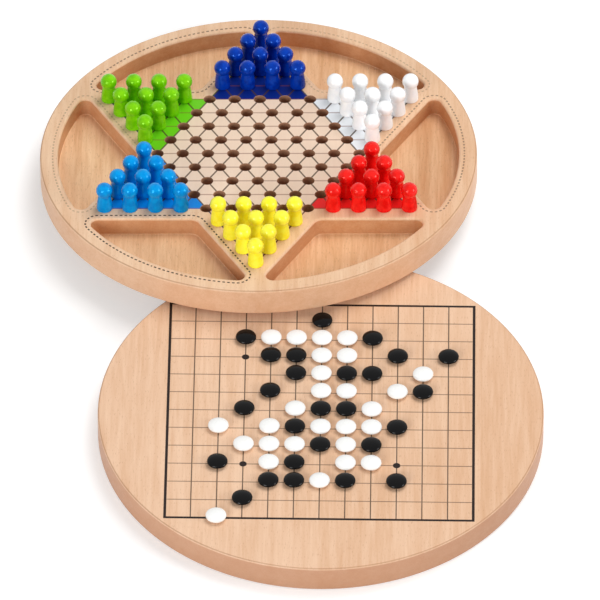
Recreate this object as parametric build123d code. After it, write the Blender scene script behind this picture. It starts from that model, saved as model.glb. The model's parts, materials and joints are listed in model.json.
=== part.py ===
from build123d import *
from math import cos, pi, radians, sin, sqrt, tan
import os

# Two round wooden game boards with their pieces, in millimetres.
# The gobang board lies flat, with the origin at the centre of its underside and +Z up.
# The star board leans on the gobang board's far rim, with its own far edge on the table.

os.makedirs("parts", exist_ok=True)

# Both boards
board_radius = 145.0
board_thickness = 19.0
top_round = 1.2
bottom_round = 1.5

# Peg holes of the star board: a hexagon field with a triangle of holes on each side
hole_pitch = 16.75
hole_radius = 3.95
hole_depth = 8.0
hexagon_side = 5
arm_rows = 4
arm_colours = ["navy", "green", "blue", "yellow", "red", "white"]

# Storage pockets, one between each two arms
pocket_land = 11.0
pocket_rim = 12.0
pocket_floor = 6.0
pocket_lip = 1.5
pocket_inner_corner = 7.0
pocket_tip_corner = 5.0

# Pegs: a ball head on a tapered body, with a spigot that drops into a hole
peg_height = 20.5
peg_foot_radius = 5.3
peg_foot_height = 1.6
peg_belly_radius = 5.0
peg_belly_height = 5.0
peg_neck_radius = 4.25
peg_head_radius = 5.45
peg_crown_radius = 1.7
head_latitudes = (-22, 14, 45)
spigot_length = 7.0
spigot_clearance = 0.08

# Stones: small biconvex discs on the crossings of the printed grid
grid_corner_margin = 4.4
grid_line_count = 13
stone_radius = 6.75
stone_height = 4.8
stone_face_radius = 3.2
stone_dome_share = 0.7

# Pegs and stones are turned in this many flat facets
turning_sides = 10

# How the star board leans
lean_direction = 10.8
stone_to_rim_gap = 2.0
lean_contact_gap = 0.1
steepest_lean = 45
lean_halvings = 60

# Crossings that hold a stone: line counted from the middle line, then places along it
black_stones = {
    5: [0],
    4: [-3, 2],
    3: [-2, -1, 3, 5],
    2: [-1, 1, 2],
    1: [-2, 4],
    0: [-3, 0, 1],
    -1: [-1, 3],
    -2: [0, 2],
    -3: [-4, -1],
    -4: [-2, -1, 1, 3],
    -5: [-3],
}
white_stones = {
    4: [-2, -1, 0, 1],
    3: [0, 1],
    2: [0, 4],
    1: [0, 1, 3],
    0: [-1, 2],
    -1: [-4, -2, 0, 1, 2],
    -2: [-3, -2, -1, 1],
    -3: [-2, 1, 2],
    -4: [0],
    -6: [-4],
}

grid_side = (board_radius - grid_corner_margin) * sqrt(2)
grid_pitch = grid_side / (grid_line_count - 1)
middle_line = (grid_line_count + 1) // 2
arm_turn = 360 / len(arm_colours)
row_step = hole_pitch * sqrt(3) / 2
hexagon_reach = (hexagon_side - 1) * row_step
pocket_edge = hexagon_reach + pocket_land
pocket_radius = board_radius - pocket_rim


def crossing(line, place):
    """Centre of a grid crossing on the gobang board."""
    return Vector(place * grid_pitch, line * grid_pitch, board_thickness)


def stone_centres():
    """Every crossing that holds a stone of either colour."""
    for lines in (black_stones, white_stones):
        for line, places in lines.items():
            for place in places:
                yield crossing(line, place)


def leaning_distance(away):
    """Distance between the boards' centres that keeps the leaning rim clear of each stone."""
    distances = []
    for centre in stone_centres():
        along = centre.X * away.X + centre.Y * away.Y
        beside = centre.X * away.Y - centre.Y * away.X
        reach = board_radius + stone_radius + stone_to_rim_gap
        distances.append(along + sqrt(max(reach**2 - beside**2, 0)))
    return max(distances)


def origin_height(tilt):
    """Height of the leaning board's underside centre while its far edge stands on the table."""
    return (board_radius - bottom_round) * sin(tilt) + bottom_round * (1 - cos(tilt))


def rim_contact(tilt, distance):
    """Room left between the leaning underside and the round of the flat board's rim."""
    across = board_radius - top_round - distance
    up = board_thickness - top_round - origin_height(tilt)
    return -(across * sin(tilt) + up * cos(tilt)) - top_round


def leaning_tilt(distance):
    """Tilt in radians that brings the underside to its small gap over the rim."""
    flat, steep = 0.0, radians(steepest_lean)
    for _ in range(lean_halvings):
        middle = (flat + steep) / 2
        if rim_contact(middle, distance) < lean_contact_gap:
            flat = middle
        else:
            steep = middle
    return steep


def leaning_place():
    """Place of the star board: the centre of its underside, tipped back along its lean."""
    direction = radians(lean_direction)
    away = Vector(-sin(direction), cos(direction), 0)
    distance = leaning_distance(away)
    tilt = leaning_tilt(distance)
    origin = away * distance + Vector(0, 0, origin_height(tilt))
    normal = away * sin(tilt) + Vector(0, 0, cos(tilt))
    sideways = Vector(1, 0, 0) - normal * normal.X
    return Plane(origin=origin, x_dir=sideways, z_dir=normal).location


def turned(profile):
    """A closed solid turned from (radius, height) points, in flat facets round its axis."""
    rings = []
    for radius, height in profile:
        ring = []
        for side in range(turning_sides):
            angle = 2 * pi * side / turning_sides
            ring.append(Vector(radius * cos(angle), radius * sin(angle), height))
        rings.append(ring)
    faces = [Face(Wire.make_polygon(rings[0])), Face(Wire.make_polygon(rings[-1]))]
    for low, high in zip(rings, rings[1:]):
        for side in range(turning_sides):
            beside = (side + 1) % turning_sides
            corners = [low[side], low[beside], high[beside], high[side]]
            faces.append(Face(Wire.make_polygon(corners)))
    return Solid(Shell(faces))


def ball_ring(centre_height, latitude):
    """Radius and height of the head's ball at a latitude in degrees."""
    angle = radians(latitude)
    return peg_head_radius * cos(angle), centre_height + peg_head_radius * sin(angle)


def make_peg():
    """One peg, standing on z = 0 with its spigot below."""
    spigot_radius = hole_radius - spigot_clearance
    head_height = peg_height - peg_head_radius
    neck_drop = sqrt(peg_head_radius**2 - peg_neck_radius**2)
    body = [
        (spigot_radius, -spigot_length),
        (spigot_radius, 0),
        ((peg_foot_radius + spigot_radius) / 2, 0),
        (peg_foot_radius, peg_foot_height),
        (peg_belly_radius, peg_belly_height),
        (peg_neck_radius, head_height - neck_drop),
    ]
    head = [ball_ring(head_height, latitude) for latitude in head_latitudes]
    return turned(body + head + [(peg_crown_radius, peg_height)])


def make_stone():
    """One stone, resting on z = 0."""
    edge_height = stone_height / 2
    return turned([
        (stone_face_radius, 0),
        (stone_radius, edge_height),
        ((stone_radius + stone_face_radius) / 2, edge_height * (1 + stone_dome_share)),
        (stone_face_radius / 2, stone_height),
    ])


def round_slab():
    """A round board with a soft top edge and a smaller round below."""
    slab = Cylinder(board_radius, board_thickness, align=(Align.CENTER, Align.CENTER, Align.MIN))
    slab = fillet(slab.edges().filter_by(GeomType.CIRCLE).sort_by(Axis.Z)[-1], top_round)
    return fillet(slab.edges().filter_by(GeomType.CIRCLE).sort_by(Axis.Z)[0], bottom_round)


def hexagon_holes():
    """Hole centres of the open field in the middle."""
    centres = []
    for line in range(1 - hexagon_side, hexagon_side):
        count = 2 * hexagon_side - 1 - abs(line)
        for place in range(count):
            centres.append(((place - (count - 1) / 2) * hole_pitch, line * row_step))
    return centres


def arm_row(arm, row):
    """Hole centres of one row of an arm, with row 1 at the arm's tip."""
    away = hexagon_reach + (arm_rows + 1 - row) * row_step
    angle = radians(arm * arm_turn)
    centres = []
    for place in range(row):
        aside = (place - (row - 1) / 2) * hole_pitch
        x = aside * cos(angle) - away * sin(angle)
        y = aside * sin(angle) + away * cos(angle)
        centres.append((x, y))
    return centres


def all_holes():
    """Every hole centre of the star board."""
    centres = hexagon_holes()
    for arm in range(len(arm_colours)):
        for row in range(1, arm_rows + 1):
            centres += arm_row(arm, row)
    return centres


def pocket_outline():
    """One pocket seen from above, with its middle along +X."""
    half_turn = radians(arm_turn / 2)
    apex = pocket_edge / cos(half_turn)
    far_x = apex + pocket_radius
    far_y = pocket_radius / tan(half_turn)
    wedge = Polygon((apex, 0), (far_x, -far_y), (far_x, far_y), align=None)
    outline = wedge & (Rot(0, 0, 180) * Circle(pocket_radius))
    outline = fillet(outline.vertices().sort_by(Axis.X)[0], pocket_inner_corner)
    return fillet(outline.vertices().sort_by(Axis.X)[-2:], pocket_tip_corner)


def is_outer_edge(edge):
    """True for the circle where the board's top face meets its round."""
    return edge.geom_type == GeomType.CIRCLE and edge.radius > pocket_radius + pocket_lip


def star_board():
    """The leaning board on its own axes, with its underside on z = 0."""
    board = round_slab()
    pocket = Pos(0, 0, pocket_floor) * extrude(pocket_outline(), board_thickness)
    board -= [Rot(0, 0, place * arm_turn) * pocket for place in range(len(arm_colours))]
    top_edges = board.edges().group_by(Axis.Z)[-1]
    board = fillet([edge for edge in top_edges if not is_outer_edge(edge)], pocket_lip)
    drill = Cylinder(hole_radius, hole_depth, align=(Align.CENTER, Align.CENTER, Align.MAX))
    return board - [Pos(x, y, board_thickness) * drill for x, y in all_holes()]


def write_node(name, solids):
    """Write one named node, which may hold several separate solids."""
    export_step(Compound(label=name, children=solids), f"parts/{name}.step")


def write_pegs(place):
    """The pegs of every arm, one node for each row across the arm."""
    peg = make_peg()
    for arm, colour in enumerate(arm_colours):
        for row in range(1, arm_rows + 1):
            pegs = [place * Pos(x, y, board_thickness) * peg for x, y in arm_row(arm, row)]
            write_node(f"{colour}_pegs_row_{row}", pegs)


def write_stones(colour, lines):
    """The stones of one colour, one node for each line of the grid that holds any."""
    stone = make_stone()
    for line, places in lines.items():
        stones = [Location(crossing(line, place)) * stone for place in places]
        write_node(f"{colour}_stones_line_{middle_line + line}", stones)


star_place = leaning_place()
write_node("gobang_board", [round_slab().solid()])
write_node("star_board", [star_place * star_board().solid()])
write_pegs(star_place)
write_stones("black", black_stones)
write_stones("white", white_stones)
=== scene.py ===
import json
from math import acos, atan2, cos, degrees, pi, radians, sin, sqrt

import bmesh
import bpy
from mathutils import Matrix, Vector


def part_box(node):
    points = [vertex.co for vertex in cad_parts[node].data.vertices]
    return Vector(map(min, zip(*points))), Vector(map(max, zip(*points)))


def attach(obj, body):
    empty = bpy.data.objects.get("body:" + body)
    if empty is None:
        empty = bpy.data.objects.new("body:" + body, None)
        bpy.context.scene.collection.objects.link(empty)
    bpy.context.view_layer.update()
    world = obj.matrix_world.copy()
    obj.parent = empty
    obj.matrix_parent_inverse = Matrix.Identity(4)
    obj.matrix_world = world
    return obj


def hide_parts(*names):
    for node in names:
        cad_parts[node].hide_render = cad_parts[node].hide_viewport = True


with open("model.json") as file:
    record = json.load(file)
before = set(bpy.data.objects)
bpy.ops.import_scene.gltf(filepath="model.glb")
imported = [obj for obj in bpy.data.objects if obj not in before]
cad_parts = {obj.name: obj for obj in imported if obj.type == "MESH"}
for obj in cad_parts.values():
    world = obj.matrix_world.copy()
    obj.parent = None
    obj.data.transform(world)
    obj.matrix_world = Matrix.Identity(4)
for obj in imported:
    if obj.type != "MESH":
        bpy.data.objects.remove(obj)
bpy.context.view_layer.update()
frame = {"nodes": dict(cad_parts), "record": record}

# Two round beech boards, sixty turned pegs and fifty-three stones, in metres.
# The gobang board lies flat at the origin. The star board leans on its far rim.

MM = 0.001

# Points nearer to each other than this are one point
hair = 0.001 * MM

# Both boards
board_low, board_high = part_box("gobang_board")
board_radius = (board_high.x - board_low.x) / 2
board_thickness = board_high.z
top_round = 1.2 * MM
bottom_round = 1.5 * MM
board_steps = 192
round_steps = 7
board_sharp_angle = 35
flat_normal = 0.9995

# Star board: holes and pockets on its own axes, with its underside on z = 0
hole_pitch = 16.75 * MM
hole_radius = 3.95 * MM
hole_depth = 8.0 * MM
hole_chamfer = 0.2 * MM
hole_steps = 28
row_step = hole_pitch * sqrt(3) / 2
hexagon_side = 5
hexagon_reach = (hexagon_side - 1) * row_step
arm_rows = 4
arm_colours = ["navy", "green", "blue", "yellow", "red", "white"]
arm_turn = 2 * pi / len(arm_colours)
half_turn = arm_turn / 2
pocket_land = 11.0 * MM
pocket_rim = 12.0 * MM
pocket_edge = hexagon_reach + pocket_land
pocket_radius = board_radius - pocket_rim
pocket_floor = 6.0 * MM
pocket_lip = 1.5 * MM
pocket_inner_corner = 7.0 * MM
pocket_tip_corner = 5.0 * MM
pocket_foot_round = 0.5 * MM
pocket_rim_steps = 36
pocket_corner_steps = 8

# Pegs: the body's (radius, height) points in millimetres go from the foot up to the neck
peg_body = [(4.8, 0), (5.18, 0.25), (5.3, 0.75), (5.28, 1.5), (5.2, 3.0), (5.0, 5.0),
            (4.74, 7.0), (4.46, 9.0), (4.3, 10.2)]
peg_neck_radius = 4.25 * MM
peg_neck_flare = 0.02 * MM
peg_neck_drop = 0.25 * MM
peg_head_radius = 5.45 * MM
peg_height = 20.5 * MM
spigot_radius = 3.87 * MM
spigot_length = 7.0 * MM
spigot_chamfer = 0.4 * MM
spigot_chamfer_height = 0.5 * MM
peg_steps = 24
peg_head_steps = 12

# Stones on the printed grid
grid_corner_margin = 4.4 * MM
grid_line_count = 13
grid_side = (board_radius - grid_corner_margin) * sqrt(2)
grid_pitch = grid_side / (grid_line_count - 1)
stone_radius = 6.75 * MM
stone_height = 4.8 * MM
stone_edge = 0.25 * MM
stone_steps = 32
stone_dome_steps = 7
turned_sharp_angle = 60

# Prints: their widths, and how strongly each shows
grid_line_width = 0.75 * MM
grid_upright_strength = 0.86
grid_level_strength = 0.66
grid_border_width = 1.8 * MM
star_point_radius = 2.45 * MM
star_point_places = [(-3, -3), (3, -3), (-3, 3), (3, 3), (0, 0)]
hexagon_strength = 0.75
lattice_line_width = 1.1 * MM
lattice_level_strength = 0.55
lattice_slant_strength = 0.88
rim_line_width = 0.7 * MM
dash_offset = 3.6 * MM
dash_width = 1.05 * MM
dash_pitch = 3.2 * MM
dash_share = 0.55
ink_softness = 0.12 * MM
line_softness = 0.2 * MM
side_softness = 0.4 * MM

# How strong the dashes are at each pocket, anticlockwise from the one on +X
dash_strengths = [0.6, 0.3, 0.75, 0.35, 1.0, 0.0]

# Beech: how fine each layer of its grain is, as repeats to the metre across and along the fibres
fibre_scale = (700, 45, 700)
streak_scale = (150, 9, 150)
cloud_scale = (16, 7, 16)
fleck_scale = (1900, 330, 1900)
drill_ring_scale = (300, 300, 1600)
strip_width = 52 * MM
fleck_strength = 0.28
wood_relief = 0.2 * MM
satin_strength = 0.12
pocket_satin_strength = 0.14
wood_shine = 0.22

# Lacquer and polish: how fine their pools, peel and clouds are, to the metre
pool_scale = 260.0
peel_scale = 1500.0
stone_cloud_scale = 220.0
polish_strength = 0.03
polish_relief = 0.1 * MM
lacquer_shine = 0.8

# Stage
floor_radius = 9.0
floor_steps = 64
floor_glow = 0.34
studio_level = 0.3
white_level = 1.0
seen_rays = ["Is Camera Ray", "Is Glossy Ray", "Is Transmission Ray"]
lamp_aim = Vector((0, 0.12, 0))

# The photograph's camera, with its focal length in pixels
photo_pixels = 600
lens_pixels = 12000
sensor_width = 36.0
camera_aim = Vector((-0.0144, 0.0593, 0.0619))
camera_bearing = radians(-0.63)
camera_elevation = radians(43.835)
camera_roll = radians(-0.209)
camera_distance = 7.8125
camera_near = 0.5
camera_far = 60.0


def linear(red, green, blue):
    """A colour as Blender wants it, from the 0 to 255 values it should show as."""
    parts = []
    for value in (red, green, blue):
        share = value / 255
        parts.append(share / 12.92 if share <= 0.04045 else ((share + 0.055) / 1.055) ** 2.4)
    return (*parts, 1.0)


# Woods: each pair is its pale and its deep tone
gobang_tones = (linear(236, 200, 170), linear(213, 168, 132))
star_tones = (linear(240, 206, 173), linear(217, 171, 133))
pocket_tones = (linear(250, 210, 168), linear(212, 154, 106))
drilled_tones = (linear(200, 150, 118), linear(128, 92, 70))
fleck_brown = linear(150, 98, 62)
rim_brown = linear(140, 88, 52)
gobang_rim_strength = 0.45
star_rim_strength = 0.5
# Browner upright sides of the boards: partly the edge's own colour, partly painted shade of the
# sides
gobang_side_brown_and_shade = linear(182, 128, 96)
gobang_side_brown_and_shade_strength = 0.7
star_side_brown_and_shade = linear(206, 150, 114)
star_side_brown_and_shade_strength = 0.4
# Browner pocket walls: partly the cut wood's own colour, partly painted shade in the recess
pocket_wall_brown_and_shade = linear(176, 112, 68)
pocket_wall_brown_and_shade_strength = 0.6

# Inks and paints on the boards
grid_ink = linear(32, 21, 18)
lattice_level_ink = linear(120, 62, 44)
lattice_slant_ink = linear(76, 54, 36)
dash_ink = linear(42, 28, 22)
hexagon_cream = linear(236, 213, 193)
arm_paints = {
    "navy": linear(4, 34, 120),
    "green": linear(104, 196, 22),
    "blue": linear(0, 128, 212),
    "red": linear(222, 30, 28),
    "white": linear(238, 242, 246),
}

# Peg lacquers: base colour, deeper colour, colour of the shine, and roughness
peg_lacquers = {
    "navy": (linear(2, 54, 168), linear(0, 38, 142), linear(85, 150, 255), 0.12),
    "green": (linear(126, 208, 10), linear(104, 188, 2), linear(195, 255, 100), 0.12),
    "blue": (linear(0, 152, 226), linear(0, 130, 210), linear(80, 195, 255), 0.12),
    "yellow": (linear(255, 251, 70), linear(253, 241, 34), linear(255, 250, 180), 0.2),
    "red": (linear(246, 30, 26), linear(226, 14, 12), linear(255, 130, 120), 0.12),
    "white": (linear(255, 255, 255), linear(249, 251, 253), linear(255, 255, 255), 0.2),
}

# Stones: base colour, deeper colour, roughness, and strength of the shine
stone_polishes = {
    "black": (linear(3, 3, 4), linear(6, 5, 6), 0.1, 0.15),
    "white": (linear(248, 248, 246), linear(238, 238, 236), 0.24, 0.4),
}
floor_white = linear(228, 228, 228)


def star_board_place():
    """Place of the star board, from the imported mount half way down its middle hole."""
    mounts = {mount["name"]: mount for mount in frame["record"]["mounts"]}
    middle = mounts["centre_peg_hole"]
    normal = Vector(middle["axis"]).normalized()
    origin = Vector(middle["pos_m"]) - normal * (board_thickness - hole_depth / 2)
    sideways = (Vector((1, 0, 0)) - normal * normal.x).normalized()
    forward = normal.cross(sideways)
    turn = Matrix((sideways, forward, normal)).transposed().to_4x4()
    return Matrix.Translation(origin) @ turn


star_place = star_board_place()


# Mesh work

def spun(bm, profile, steps):
    """Turn (radius, height) points about the Z axis into a skin, closed where they reach it."""
    verts = [bm.verts.new((radius, 0, height)) for radius, height in profile]
    edges = [bm.edges.new(pair) for pair in zip(verts, verts[1:])]
    bmesh.ops.spin(bm, geom=verts + edges, cent=(0, 0, 0), axis=(0, 0, 1), dvec=(0, 0, 0),
                   angle=2 * pi, steps=steps, use_merge=True, use_normal_flip=False,
                   use_duplicate=False)
    bmesh.ops.remove_doubles(bm, verts=bm.verts, dist=hair)


def arc_points(centre_x, centre_y, radius, start, end, steps):
    """Pairs of coordinates along an arc in a profile or a plan, with its angles in degrees."""
    points = []
    for step in range(steps + 1):
        angle = radians(start + (end - start) * step / steps)
        points.append((centre_x + radius * cos(angle), centre_y + radius * sin(angle)))
    return points


def rim_profile():
    """The boards' edge from the underside up to the top face."""
    low = arc_points(board_radius - bottom_round, bottom_round, bottom_round, -90, 0, round_steps)
    high = arc_points(board_radius - top_round, board_thickness - top_round, top_round, 0, 90,
                      round_steps)
    return low + high


def shade(bm, sharp_angle):
    """Soft shading on the round faces, with flat ones and sharp edges kept crisp."""
    bmesh.ops.recalc_face_normals(bm, faces=bm.faces)
    for face in bm.faces:
        face.smooth = abs(face.normal.z) < flat_normal
    for edge in bm.edges:
        if len(edge.link_faces) == 2:
            edge.smooth = edge.calc_face_angle(0) < radians(sharp_angle)


def add_piece(name, bm, materials, body, node):
    """Put a finished mesh in the scene, on its body and in the place of its CAD node."""
    mesh = bpy.data.meshes.new(name)
    bm.to_mesh(mesh)
    bm.free()
    piece = bpy.data.objects.new(name, mesh)
    for material in materials:
        mesh.materials.append(material)
    bpy.context.scene.collection.objects.link(piece)
    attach(piece, body)
    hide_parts(node)


def copies(original, places):
    """One mesh with a copy of the original at each place."""
    bm = bmesh.new()
    mesh = bpy.data.meshes.new("pattern")
    original.to_mesh(mesh)
    original.free()
    for place in places:
        before = len(bm.verts)
        bm.from_mesh(mesh)
        bm.verts.ensure_lookup_table()
        bmesh.ops.transform(bm, matrix=place, verts=bm.verts[before:])
    bpy.data.meshes.remove(mesh)
    return bm


# Boards

def gobang_board(wood):
    """The flat board: one turned slab."""
    bm = bmesh.new()
    spun(bm, [(0, 0)] + rim_profile() + [(0, board_thickness)], board_steps)
    shade(bm, board_sharp_angle)
    add_piece("gobang_board_wood", bm, [wood], "gobang_board", "gobang_board")


def hexagon_holes():
    """Hole centres of the open field in the middle."""
    centres = []
    for line in range(1 - hexagon_side, hexagon_side):
        count = 2 * hexagon_side - 1 - abs(line)
        for place in range(count):
            centres.append(((place - (count - 1) / 2) * hole_pitch, line * row_step))
    return centres


def arm_row(arm, row):
    """Hole centres of one row of an arm, with row 1 at the arm's tip."""
    away = hexagon_reach + (arm_rows + 1 - row) * row_step
    angle = arm * arm_turn
    centres = []
    for place in range(row):
        aside = (place - (row - 1) / 2) * hole_pitch
        x = aside * cos(angle) - away * sin(angle)
        y = aside * sin(angle) + away * cos(angle)
        centres.append((x, y))
    return centres


def all_holes():
    """Every hole centre of the star board."""
    centres = hexagon_holes()
    for arm in range(len(arm_colours)):
        for row in range(1, arm_rows + 1):
            centres += arm_row(arm, row)
    return centres


def pocket_tip():
    """Centre of a pocket's upper tip corner, its way along the side, and its angle."""
    beside = pocket_edge + pocket_tip_corner
    along = sqrt((pocket_radius - pocket_tip_corner) ** 2 - beside**2)
    tip_x = beside * cos(half_turn) + along * sin(half_turn)
    tip_y = along * cos(half_turn) - beside * sin(half_turn)
    return tip_x, tip_y, along, atan2(tip_y, tip_x)


def pocket_inner_x():
    """How far out a pocket's inner corner has its centre."""
    return (pocket_edge + pocket_inner_corner) / cos(half_turn)


def pocket_mouth(grow):
    """Points round a pocket that opens along +X, as far outside its wall as grow."""
    tip_x, tip_y, _, tip_angle = pocket_tip()
    tip_corner = pocket_tip_corner + grow
    lean = degrees(tip_angle)
    square = 180 - degrees(half_turn)
    arcs = [
        (0, 0, pocket_radius + grow, -lean, lean, pocket_rim_steps),
        (tip_x, tip_y, tip_corner, lean, square, pocket_corner_steps),
        (pocket_inner_x(), 0, pocket_inner_corner + grow, square, 360 - square,
         pocket_corner_steps),
        (tip_x, -tip_y, tip_corner, 360 - square, 360 - lean, pocket_corner_steps),
    ]
    points = []
    for arc in arcs:
        for x, y in arc_points(*arc):
            point = Vector((x, y, board_thickness))
            if not points or (point - points[-1]).length > hair:
                points.append(point)
    return points[:-1]


def closed_loop(bm, points):
    """A closed line of edges through points."""
    verts = [bm.verts.new(point) for point in points]
    return [bm.edges.new(pair) for pair in zip(verts, verts[1:] + verts[:1])]


def level_edges(bm, height):
    """The edges that lie at a height."""
    return [edge for edge in bm.edges if all(abs(vert.co.z - height) < hair for vert in edge.verts)]


def cover(bm, edges):
    """A face in each closed loop of edges, looking up."""
    faces = bmesh.ops.edgeloop_fill(bm, edges=edges)["faces"]
    for face in faces:
        face.normal_update()
        if face.normal.z < 0:
            face.normal_flip()
    return faces


def sink(bm, faces, depth):
    """Push faces straight down, with walls behind them."""
    pushed = bmesh.ops.extrude_discrete_faces(bm, faces=faces)["faces"]
    verts = list({vert for face in pushed for vert in face.verts})
    bmesh.ops.translate(bm, vec=(0, 0, -depth), verts=verts)
    return pushed


def narrow(bm, faces, inward, down):
    """Step faces inward and down from their own outlines."""
    bmesh.ops.inset_individual(bm, faces=faces, thickness=inward, depth=-down,
                               use_even_offset=True)


def quarter_steps(radius):
    """Steps round a quarter circle, each as a quick start one way and a slow start the other."""
    steps = []
    for step in range(round_steps):
        start = pi / 2 * step / round_steps
        end = pi / 2 * (step + 1) / round_steps
        steps.append((radius * (sin(end) - sin(start)), radius * (cos(start) - cos(end))))
    return steps


def drill_holes(bm, edges):
    """Blind holes with a small chamfer, and every face that they add."""
    outside = set(bm.faces)
    bottoms = cover(bm, edges)
    narrow(bm, bottoms, hole_chamfer, hole_chamfer)
    sink(bm, bottoms, hole_depth - hole_chamfer)
    return [face for face in bm.faces if face not in outside]


def rout_pockets(bm, edges):
    """Pockets with rounded lips and feet, and the faces of their walls and floors."""
    outside = set(bm.faces)
    floors = cover(bm, edges)
    for inward, down in quarter_steps(pocket_lip):
        narrow(bm, floors, inward, down)
    outside.update(face for face in bm.faces if face not in floors)
    floors = sink(bm, floors, board_thickness - pocket_lip - pocket_floor - pocket_foot_round)
    for down, inward in quarter_steps(pocket_foot_round):
        narrow(bm, floors, inward, down)
    return [face for face in bm.faces if face not in outside]


def star_board(wood, pocket_wood, hole_wood):
    """The leaning board: a turned rim, a top face round every opening, then holes and pockets."""
    bm = bmesh.new()
    spun(bm, rim_profile(), board_steps)
    top = level_edges(bm, board_thickness)
    bmesh.ops.edgeloop_fill(bm, edges=level_edges(bm, 0))

    hole_edges = []
    for x, y in all_holes():
        ring = arc_points(x, y, hole_radius + hole_chamfer, 0, 360, hole_steps)[:-1]
        hole_edges += closed_loop(bm, [Vector((*point, board_thickness)) for point in ring])
    pocket_edges = []
    for place in range(len(arm_colours)):
        turn = Matrix.Rotation(place * arm_turn, 4, "Z")
        pocket_edges += closed_loop(bm, [turn @ point for point in pocket_mouth(pocket_lip)])
    bmesh.ops.triangle_fill(bm, use_beauty=True, use_dissolve=False, normal=(0, 0, 1),
                            edges=top + hole_edges + pocket_edges)

    materials = [wood, pocket_wood, hole_wood]
    for face in drill_holes(bm, hole_edges):
        face.material_index = materials.index(hole_wood)
    for face in rout_pockets(bm, pocket_edges):
        face.material_index = materials.index(pocket_wood)

    shade(bm, board_sharp_angle)
    bmesh.ops.transform(bm, matrix=star_place, verts=bm.verts)
    add_piece("star_board_wood", bm, materials, "star_board", "star_board")


# Pegs and stones

def turned_peg():
    """A smooth peg that stands on z = 0 with its spigot below."""
    head_height = peg_height - peg_head_radius
    neck_angle = degrees(acos(peg_neck_radius / peg_head_radius))
    neck_height = head_height - sqrt(peg_head_radius**2 - peg_neck_radius**2)
    spigot = [
        (0, -spigot_length),
        (spigot_radius - spigot_chamfer, -spigot_length),
        (spigot_radius, spigot_chamfer_height - spigot_length),
        (spigot_radius, 0),
    ]
    body = [(radius * MM, height * MM) for radius, height in peg_body]
    neck = [(peg_neck_radius + peg_neck_flare, neck_height - peg_neck_drop)]
    head = arc_points(0, head_height, peg_head_radius, -neck_angle, 90, peg_head_steps)
    bm = bmesh.new()
    spun(bm, spigot + body + neck + head, peg_steps)
    shade(bm, turned_sharp_angle)
    return bm


def polished_stone():
    """A smooth stone, domed on both faces, that rests on z = 0."""
    rise = (stone_height - stone_edge) / 2
    low = arc_points(0, 0, 1, -90, 0, stone_dome_steps)
    high = arc_points(0, 0, 1, 0, 90, stone_dome_steps)
    profile = [(x * stone_radius, rise + y * rise) for x, y in low]
    profile += [(x * stone_radius, rise + stone_edge + y * rise) for x, y in high]
    bm = bmesh.new()
    spun(bm, profile, stone_steps)
    shade(bm, turned_sharp_angle)
    return bm


def peg_row(arm, row, lacquer):
    """The pegs of one row of an arm, in the place of their CAD node."""
    node = f"{arm_colours[arm]}_pegs_row_{row}"
    places = [star_place @ Matrix.Translation((x, y, board_thickness))
              for x, y in arm_row(arm, row)]
    add_piece(f"{node}_turned", copies(turned_peg(), places), [lacquer], node,
              node)


def stones_of(node):
    """Crossings of the grid on which a CAD node has a stone."""
    crossings = set()
    for vert in frame["nodes"][node].data.vertices:
        crossings.add((round(vert.co.x / grid_pitch), round(vert.co.y / grid_pitch)))
    return sorted(crossings)


def stone_line(node, polish):
    """The stones of one colour on one line, in the place of their CAD node."""
    places = [Matrix.Translation((x * grid_pitch, y * grid_pitch, board_thickness))
              for x, y in stones_of(node)]
    add_piece(f"{node}_polished", copies(polished_stone(), places), [polish], node,
              node)


# Finishes

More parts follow.
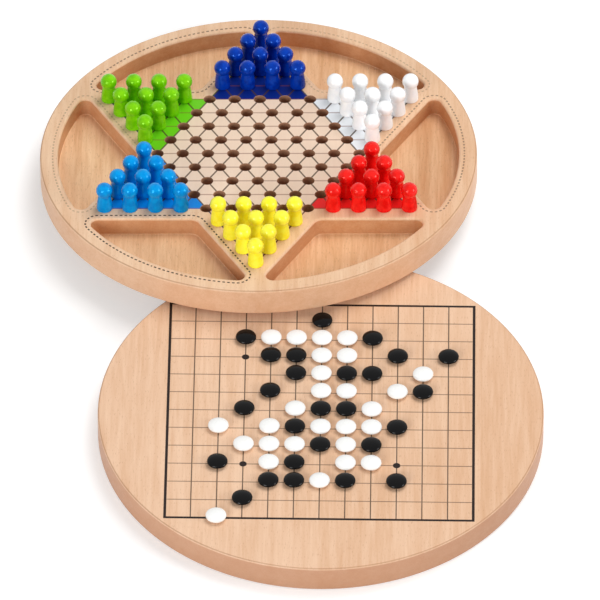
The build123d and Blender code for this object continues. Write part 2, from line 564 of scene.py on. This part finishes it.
class Finish:
    """The nodes of one material, made with short calls."""

    def __init__(self, name):
        self.material = bpy.data.materials.new(name)
        self.material.use_nodes = True
        self.tree = self.material.node_tree
        self.shader = self.tree.nodes["Principled BSDF"]
        self.spot = self.node("ShaderNodeTexCoord").outputs["Object"]

    def node(self, kind, inputs=None, **settings):
        """A node with its settings, and its inputs set or linked."""
        made = self.tree.nodes.new(kind)
        for name, value in settings.items():
            setattr(made, name, value)
        for key, value in (inputs or {}).items():
            self.feed(made.inputs[key], value)
        return made

    def feed(self, socket, value):
        """Link a socket to another node, or give it a plain value."""
        if isinstance(value, bpy.types.NodeSocket):
            self.tree.links.new(value, socket)
        else:
            socket.default_value = value

    def maths(self, operation, *values):
        """The result of one sum."""
        inputs = dict(enumerate(values))
        return self.node("ShaderNodeMath", inputs, operation=operation).outputs[0]

    def product(self, *values):
        """Several values multiplied."""
        result = values[0]
        for value in values[1:]:
            result = self.maths("MULTIPLY", result, value)
        return result

    def greatest(self, *values):
        """The largest of several values."""
        result = values[0]
        for value in values[1:]:
            result = self.maths("MAXIMUM", result, value)
        return result

    def length(self, x, y):
        """Length of a flat vector."""
        return self.maths("SQRT", self.maths("MULTIPLY_ADD", x, x, self.product(y, y)))

    def distance(self, value, mark):
        """How far a value is from a mark, on either side."""
        return self.maths("ABSOLUTE", self.maths("SUBTRACT", value, mark))

    def either(self, share, low, high):
        """The low value where the share is 0 and the high one where it is 1."""
        inputs = {"Factor": share, "A": low, "B": high}
        return self.node("ShaderNodeMix", inputs, data_type="FLOAT").outputs["Result"]

    def axes(self, vector):
        """A vector's three parts."""
        return self.node("ShaderNodeSeparateXYZ", {0: vector}).outputs[:3]

    def placed(self, vector, location=(0, 0, 0), rotation=(0, 0, 0), scale=(1, 1, 1)):
        """Coordinates turned, moved and scaled by a Mapping node."""
        inputs = {"Vector": vector, "Location": location, "Rotation": rotation, "Scale": scale}
        return self.node("ShaderNodeMapping", inputs).outputs[0]

    def noise(self, vector, scale=1.0, detail=3.0, roughness=0.5, distortion=0.0):
        """Soft random values."""
        inputs = {"Vector": vector, "Scale": scale, "Detail": detail, "Roughness": roughness,
                  "Distortion": distortion}
        return self.node("ShaderNodeTexNoise", inputs).outputs[0]

    def stepped(self, value, low, high, start=0.0, end=1.0):
        """A value spread from low and high to start and end, and held there."""
        inputs = {"Value": value, "From Min": low, "From Max": high, "To Min": start,
                  "To Max": end}
        return self.node("ShaderNodeMapRange", inputs, interpolation_type="SMOOTHSTEP").outputs[0]

    def below(self, value, limit, soft=ink_softness):
        """1 where a value is under a limit, with a soft edge like ink on wood."""
        return self.stepped(value, limit - soft, limit + soft, 1.0, 0.0)

    def blend(self, share, first, second):
        """Two colours mixed."""
        inputs = {"Factor": share, "A": first, "B": second}
        return self.node("ShaderNodeMix", inputs, data_type="RGBA").outputs["Result"]

    def bump(self, height, strength, distance):
        """A normal from a height."""
        inputs = {"Height": height, "Strength": strength, "Distance": distance}
        return self.node("ShaderNodeBump", inputs).outputs[0]

    def surface(self, **inputs):
        """Feed the shader's own sockets and give the material back."""
        for name, value in inputs.items():
            self.feed(self.shader.inputs[name.replace("_", " ")], value)
        return self.material


def beech(finish, place, tones):
    """Colour, roughness and height of straight-grained beech, with grain along Y."""
    fibres = finish.noise(finish.placed(place, scale=fibre_scale), detail=4.0, roughness=0.62)
    streaks = finish.noise(finish.placed(place, scale=streak_scale), roughness=0.55,
                           distortion=0.4)
    clouds = finish.noise(finish.placed(place, scale=cloud_scale), detail=2.0)
    flecks = finish.noise(finish.placed(place, scale=fleck_scale), detail=1.0)
    across = finish.axes(place)[0]
    strip = finish.maths("FLOOR", finish.maths("DIVIDE", across, strip_width))
    tone = finish.node("ShaderNodeTexWhiteNoise", {"W": strip}, noise_dimensions="1D").outputs[0]
    depth = 0.0
    for layer, weight in ((fibres, 0.34), (streaks, 0.42), (clouds, 0.22), (tone, 0.10)):
        depth = finish.maths("MULTIPLY_ADD", layer, weight, depth)
    pale, deep = tones
    colour = finish.blend(finish.stepped(depth, 0.28, 0.78), pale, deep)
    fleck_share = finish.product(finish.stepped(flecks, 0.62, 0.74), fleck_strength)
    colour = finish.blend(fleck_share, colour, fleck_brown)
    rough = finish.stepped(fibres, 0.3, 0.7, 0.36, 0.46)
    height = finish.maths("MULTIPLY_ADD", flecks, -0.3, fibres)
    return colour, rough, height


def satin(finish, colour, rough, height, strength=satin_strength):
    """A thin satin varnish that lets the fibres be felt."""
    return finish.surface(Base_Color=colour, Roughness=rough,
                          Normal=finish.bump(height, strength, wood_relief),
                          Specular_IOR_Level=wood_shine)


def board_edge(finish, colour, spot, side_brown_and_shade, side_brown_and_shade_strength, rim_strength):
    """The colour with a browner side, partly the edge's own colour and partly painted shade, the
    thin line round the top, and 1 on the top face.
    """
    x, y, z = spot
    round_foot = board_thickness - top_round
    side = finish.below(z, round_foot, side_softness)
    # Painted shade in part: the upright side is made browner than the top
    colour = finish.blend(finish.product(side, side_brown_and_shade_strength), colour, side_brown_and_shade)
    off = finish.distance(finish.length(x, y), board_radius - top_round / 2)
    line = finish.below(off, rim_line_width / 2, line_softness)
    line = finish.product(line, finish.maths("GREATER_THAN", z, round_foot), rim_strength)
    colour = finish.blend(line, colour, rim_brown)
    return colour, finish.maths("GREATER_THAN", z, board_thickness - line_softness)


def line_grid(finish, x, y):
    """1 on the printed lines, border and star points of the five-in-a-row grid."""
    reach = grid_side / 2
    furthest = finish.maths("MAXIMUM", finish.maths("ABSOLUTE", x), finish.maths("ABSOLUTE", y))
    lines = []
    for way, strength in ((x, grid_upright_strength), (y, grid_level_strength)):
        near = finish.maths("PINGPONG", way, grid_pitch / 2)
        lines.append(finish.product(finish.below(near, grid_line_width / 2), strength))
    inside = finish.maths("LESS_THAN", furthest, reach)
    printed = [finish.product(finish.greatest(*lines), inside)]
    printed.append(finish.below(finish.distance(furthest, reach), grid_border_width / 2))
    for place_x, place_y in star_point_places:
        from_x = finish.maths("SUBTRACT", x, place_x * grid_pitch)
        from_y = finish.maths("SUBTRACT", y, place_y * grid_pitch)
        printed.append(finish.below(finish.length(from_x, from_y), star_point_radius))
    return finish.greatest(*printed)


def gobang_beech():
    """Satin beech with the printed grid."""
    finish = Finish("gobang_beech_printed")
    spot = finish.axes(finish.spot)
    colour, rough, height = beech(finish, finish.spot, gobang_tones)
    colour, on_top = board_edge(finish, colour, spot, gobang_side_brown_and_shade,
                                gobang_side_brown_and_shade_strength, gobang_rim_strength)
    print_share = finish.product(line_grid(finish, spot[0], spot[1]), on_top)
    colour = finish.blend(print_share, colour, grid_ink)
    return satin(finish, colour, rough, height)


def star_axes(finish):
    """The star board's own coordinates."""
    back = star_place.inverted()
    return finish.placed(finish.spot, location=back.translation,
                         rotation=back.to_euler("XYZ"))


def star_ways(finish, x, y):
    """Distances from the middle towards the navy, white and green arms."""
    lean = finish.product(y, 0.5)
    aside = finish.product(x, cos(radians(30)))
    return y, finish.maths("ADD", lean, aside), finish.maths("SUBTRACT", lean, aside)


def pocket_outline(finish, angle, radius):
    """Distance outside the nearest pocket's wall, and the way walked along that wall."""
    tip_x, tip_y, tip_along, tip_angle = pocket_tip()
    square = pi - half_turn
    inner_x = pocket_inner_x()
    inner_along = inner_x * sin(half_turn)
    turn = finish.maths("PINGPONG", angle, half_turn)
    x = finish.product(radius, finish.maths("COSINE", turn))
    y = finish.product(radius, finish.maths("SINE", turn))

    # The straight side
    across = finish.maths("SUBTRACT", finish.product(x, cos(half_turn)),
                          finish.product(y, sin(half_turn)))
    side_way = finish.maths("MULTIPLY_ADD", x, sin(half_turn), finish.product(y, cos(half_turn)))
    side_off = finish.maths("SUBTRACT", pocket_edge, across)

    # The tip corner, and the rim beyond it
    from_x = finish.maths("SUBTRACT", x, tip_x)
    from_y = finish.maths("SUBTRACT", y, tip_y)
    tip_off = finish.maths("SUBTRACT", finish.length(from_x, from_y), pocket_tip_corner)
    tip_turn = finish.maths("SUBTRACT", square, finish.maths("ARCTAN2", from_y, from_x))
    tip_reach = pocket_tip_corner + dash_offset
    tip_way = finish.maths("MULTIPLY_ADD", tip_turn, tip_reach, tip_along)
    rim_off = finish.maths("SUBTRACT", radius, pocket_radius)
    rim_way = finish.maths("MULTIPLY_ADD", finish.maths("SUBTRACT", tip_angle, turn),
                           pocket_radius + dash_offset,
                           tip_along + (square - tip_angle) * tip_reach)

    # The inner corner
    from_x = finish.maths("SUBTRACT", x, inner_x)
    inner_off = finish.maths("SUBTRACT", finish.length(from_x, y), pocket_inner_corner)
    inner_turn = finish.maths("SUBTRACT", finish.maths("ARCTAN2", y, from_x), square)
    inner_way = finish.maths("MULTIPLY_ADD", inner_turn,
                             -(pocket_inner_corner + dash_offset), inner_along)

    # Whichever of them is nearest
    past_side = finish.maths("GREATER_THAN", side_way, tip_along)
    past_rim = finish.maths("GREATER_THAN", turn, tip_angle)
    by_tip = finish.product(past_side, past_rim)
    by_apex = finish.maths("LESS_THAN", side_way, inner_along)
    by_rim = finish.maths("GREATER_THAN", rim_off, side_off)
    off = finish.either(by_apex, finish.greatest(side_off, rim_off), inner_off)
    way = finish.either(by_rim, finish.either(by_apex, side_way, inner_way), rim_way)
    return finish.either(by_tip, off, tip_off), finish.either(by_tip, way, tip_way)


def dashes(finish, x, y):
    """The broken lines round the pockets, as strong as each pocket's own print."""
    angle = finish.maths("ARCTAN2", y, x)
    off, way = pocket_outline(finish, angle, finish.length(x, y))
    line = finish.below(finish.distance(off, dash_offset), dash_width / 2)
    gap = finish.maths("PINGPONG", way, dash_pitch / 2)
    broken = finish.below(gap, dash_pitch / 2 * dash_share, line_softness)
    pocket = finish.maths("ROUND", finish.maths("DIVIDE", angle, arm_turn))
    pocket = finish.maths("FLOORED_MODULO", pocket, len(arm_colours))
    strength = 0.0
    for place, share in enumerate(dash_strengths):
        here = finish.maths("COMPARE", pocket, place, 0.5)
        strength = finish.maths("MULTIPLY_ADD", here, share, strength)
    return finish.product(line, broken, strength)


def star_beech():
    """Satin beech with the printed lattice, the painted arms and the broken outlines."""
    finish = Finish("star_beech_printed")
    place = star_axes(finish)
    spot = finish.axes(place)
    x, y, _ = spot
    colour, rough, height = beech(finish, place, star_tones)
    colour, on_top = board_edge(finish, colour, spot, star_side_brown_and_shade,
                                star_side_brown_and_shade_strength, star_rim_strength)

    # The star is two crossed triangles, and the hexagon is what they share
    up, right, left = star_ways(finish, x, y)
    down, lower_left, lower_right = (finish.product(way, -1.0) for way in (up, right, left))
    one = finish.greatest(right, left, down)
    other = finish.greatest(lower_left, lower_right, up)
    in_star = finish.below(finish.maths("MINIMUM", one, other),
                           hexagon_reach + lattice_line_width / 2)
    in_star = finish.product(in_star, on_top)
    in_hexagon = finish.below(finish.maths("MAXIMUM", one, other), hexagon_reach)
    in_hexagon = finish.product(in_hexagon, on_top, hexagon_strength)
    colour = finish.blend(in_hexagon, colour, hexagon_cream)
    arms = {"navy": up, "green": left, "blue": lower_left, "red": lower_right, "white": right}
    for arm, way in arms.items():
        painted = finish.maths("GREATER_THAN", way, hexagon_reach)
        colour = finish.blend(finish.product(painted, in_star), colour, arm_paints[arm])

    near_up, near_right, near_left = (finish.maths("PINGPONG", way, row_step / 2)
                                      for way in (up, right, left))
    level = finish.below(near_up, lattice_line_width / 2)
    slants = finish.below(finish.maths("MINIMUM", near_right, near_left), lattice_line_width / 2)
    level = finish.product(level, lattice_level_strength, in_star)
    slants = finish.product(slants, lattice_slant_strength, in_star)
    colour = finish.blend(level, colour, lattice_level_ink)
    colour = finish.blend(slants, colour, lattice_slant_ink)
    colour = finish.blend(finish.product(dashes(finish, x, y), on_top), colour, dash_ink)
    return satin(finish, colour, rough, height)


def pocket_beech():
    """The deeper, warmer beech inside the pockets, browner up their walls, partly the cut wood's
    own colour and partly painted shade in the recess.
    """
    finish = Finish("pocket_beech")
    place = star_axes(finish)
    z = finish.axes(place)[2]
    colour, rough, height = beech(finish, place, pocket_tones)
    # The walls are browner than the floor: partly the wood's own colour, partly painted shade in
    # the recess
    wall = finish.stepped(z, pocket_floor + pocket_foot_round * 0.5,
                          pocket_floor + pocket_foot_round * 1.5)
    colour = finish.blend(finish.product(wall, pocket_wall_brown_and_shade_strength), colour, pocket_wall_brown_and_shade)
    return satin(finish, colour, rough, height, pocket_satin_strength)


def drilled_beech():
    """Brown wood inside the drilled holes, ringed by the drill."""
    finish = Finish("drilled_beech")
    place = star_axes(finish)
    rings = finish.noise(finish.placed(place, scale=drill_ring_scale), roughness=0.6)
    pale, deep = drilled_tones
    return finish.surface(Base_Color=finish.blend(rings, pale, deep), Roughness=0.7,
                          Normal=finish.bump(rings, 0.3, wood_relief), Specular_IOR_Level=0.2)


def peg_lacquer(colour):
    """Sprayed lacquer on turned wood: slightly uneven, with a soft orange peel."""
    base, deep, sheen, gloss = peg_lacquers[colour]
    finish = Finish(f"{colour}_peg_paint")
    pools = finish.noise(finish.spot, pool_scale, detail=2.0)
    peel = finish.noise(finish.spot, peel_scale, detail=1.0)
    paint = finish.blend(finish.stepped(pools, 0.35, 0.7), base, deep)
    rough = finish.stepped(pools, 0.3, 0.7, gloss, gloss + 0.04)
    return finish.surface(Base_Color=paint, Roughness=rough,
                          Normal=finish.bump(peel, polish_strength, polish_relief),
                          Specular_IOR_Level=lacquer_shine, Specular_Tint=sheen)


def stone_polish(colour):
    """Polished stone with the faintest cloud in it."""
    base, deep, gloss, shine = stone_polishes[colour]
    finish = Finish(f"{colour}_stone_polish")
    cloud = finish.noise(finish.spot, stone_cloud_scale, roughness=0.55)
    rough = finish.stepped(cloud, 0.3, 0.7, gloss, gloss + 0.05)
    return finish.surface(Base_Color=finish.blend(cloud, base, deep), Roughness=rough,
                          Normal=finish.bump(cloud, polish_strength, polish_relief),
                          Specular_IOR_Level=shine)


# Stage, light and camera

def add_floor():
    """A plain white floor that keeps the soft shadow."""
    bm = bmesh.new()
    bmesh.ops.create_circle(bm, cap_ends=True, segments=floor_steps, radius=floor_radius)
    mesh = bpy.data.meshes.new("floor")
    bm.to_mesh(mesh)
    bm.free()
    floor = bpy.data.objects.new("floor", mesh)
    bpy.context.scene.collection.objects.link(floor)
    finish = Finish("floor_white")
    path = finish.node("ShaderNodeLightPath").outputs
    seen = finish.greatest(*(path[ray] for ray in seen_rays))
    finish.surface(Base_Color=floor_white, Roughness=0.9, Specular_IOR_Level=0.0,
                   Emission_Color=(1, 1, 1, 1), Emission_Strength=finish.product(seen, floor_glow))
    mesh.materials.append(finish.material)


def add_lamp(name, place, size, power, mirrored=True):
    """A square soft lamp turned to the boards, seen or not in polished surfaces."""
    light = bpy.data.lights.new(name, "AREA")
    light.size = size
    light.energy = power
    lamp = bpy.data.objects.new(name, light)
    lamp.location = place
    lamp.visible_glossy = mirrored
    lamp.rotation_mode = "QUATERNION"
    lamp.rotation_quaternion = (lamp_aim - Vector(place)).to_track_quat("-Z", "Y")
    bpy.context.scene.collection.objects.link(lamp)


def add_world():
    """Even pale surroundings, white where the camera looks past the floor."""
    world = bpy.data.worlds.new("studio")
    world.use_nodes = True
    tree = world.node_tree
    background = tree.nodes["Background"]
    path = tree.nodes.new("ShaderNodeLightPath")
    seen = path.outputs[seen_rays[0]]
    for ray in seen_rays[1:]:
        either_ray = tree.nodes.new("ShaderNodeMath")
        either_ray.operation = "MAXIMUM"
        tree.links.new(seen, either_ray.inputs[0])
        tree.links.new(path.outputs[ray], either_ray.inputs[1])
        seen = either_ray.outputs[0]
    level = tree.nodes.new("ShaderNodeMapRange")
    tree.links.new(seen, level.inputs["Value"])
    level.inputs["To Min"].default_value = studio_level
    level.inputs["To Max"].default_value = white_level
    background.inputs["Color"].default_value = (1, 1, 1, 1)
    tree.links.new(level.outputs[0], background.inputs["Strength"])
    bpy.context.scene.world = world


def add_camera():
    """The photograph's long lens and viewing angle."""
    data = bpy.data.cameras.new("photograph_camera")
    data.sensor_width = sensor_width
    data.lens = lens_pixels / photo_pixels * sensor_width
    data.clip_start = camera_near
    data.clip_end = camera_far
    camera = bpy.data.objects.new("photograph_camera", data)
    ahead = Vector((sin(camera_bearing) * cos(camera_elevation),
                    cos(camera_bearing) * cos(camera_elevation), -sin(camera_elevation)))
    right = ahead.cross(Vector((0, 0, 1))).normalized()
    above = right.cross(ahead)
    turn = Matrix((right, above, -ahead)).transposed() @ Matrix.Rotation(-camera_roll, 3, "Z")
    camera.matrix_world = Matrix.Translation(camera_aim - ahead * camera_distance) @ turn.to_4x4()
    bpy.context.scene.collection.objects.link(camera)
    bpy.context.scene.camera = camera
    bpy.context.scene.view_settings.view_transform = "Standard"


gobang_board(gobang_beech())
star_board(star_beech(), pocket_beech(), drilled_beech())
for arm, colour in enumerate(arm_colours):
    lacquer = peg_lacquer(colour)
    for row in range(1, arm_rows + 1):
        peg_row(arm, row, lacquer)
for colour in stone_polishes:
    polish = stone_polish(colour)
    for node in sorted(frame["nodes"]):
        if node.startswith(f"{colour}_stones_"):
            stone_line(node, polish)

add_floor()
add_world()
add_lamp("key_lamp", place=(0.8, 1.1, 2.3), size=1.6, power=42.0, mirrored=False)
add_lamp("left_lamp", place=(-1.1, -1.75, 0.85), size=0.95, power=30.0)
add_lamp("right_lamp", place=(2.05, -0.6, 0.85), size=0.85, power=20.0)
add_camera()
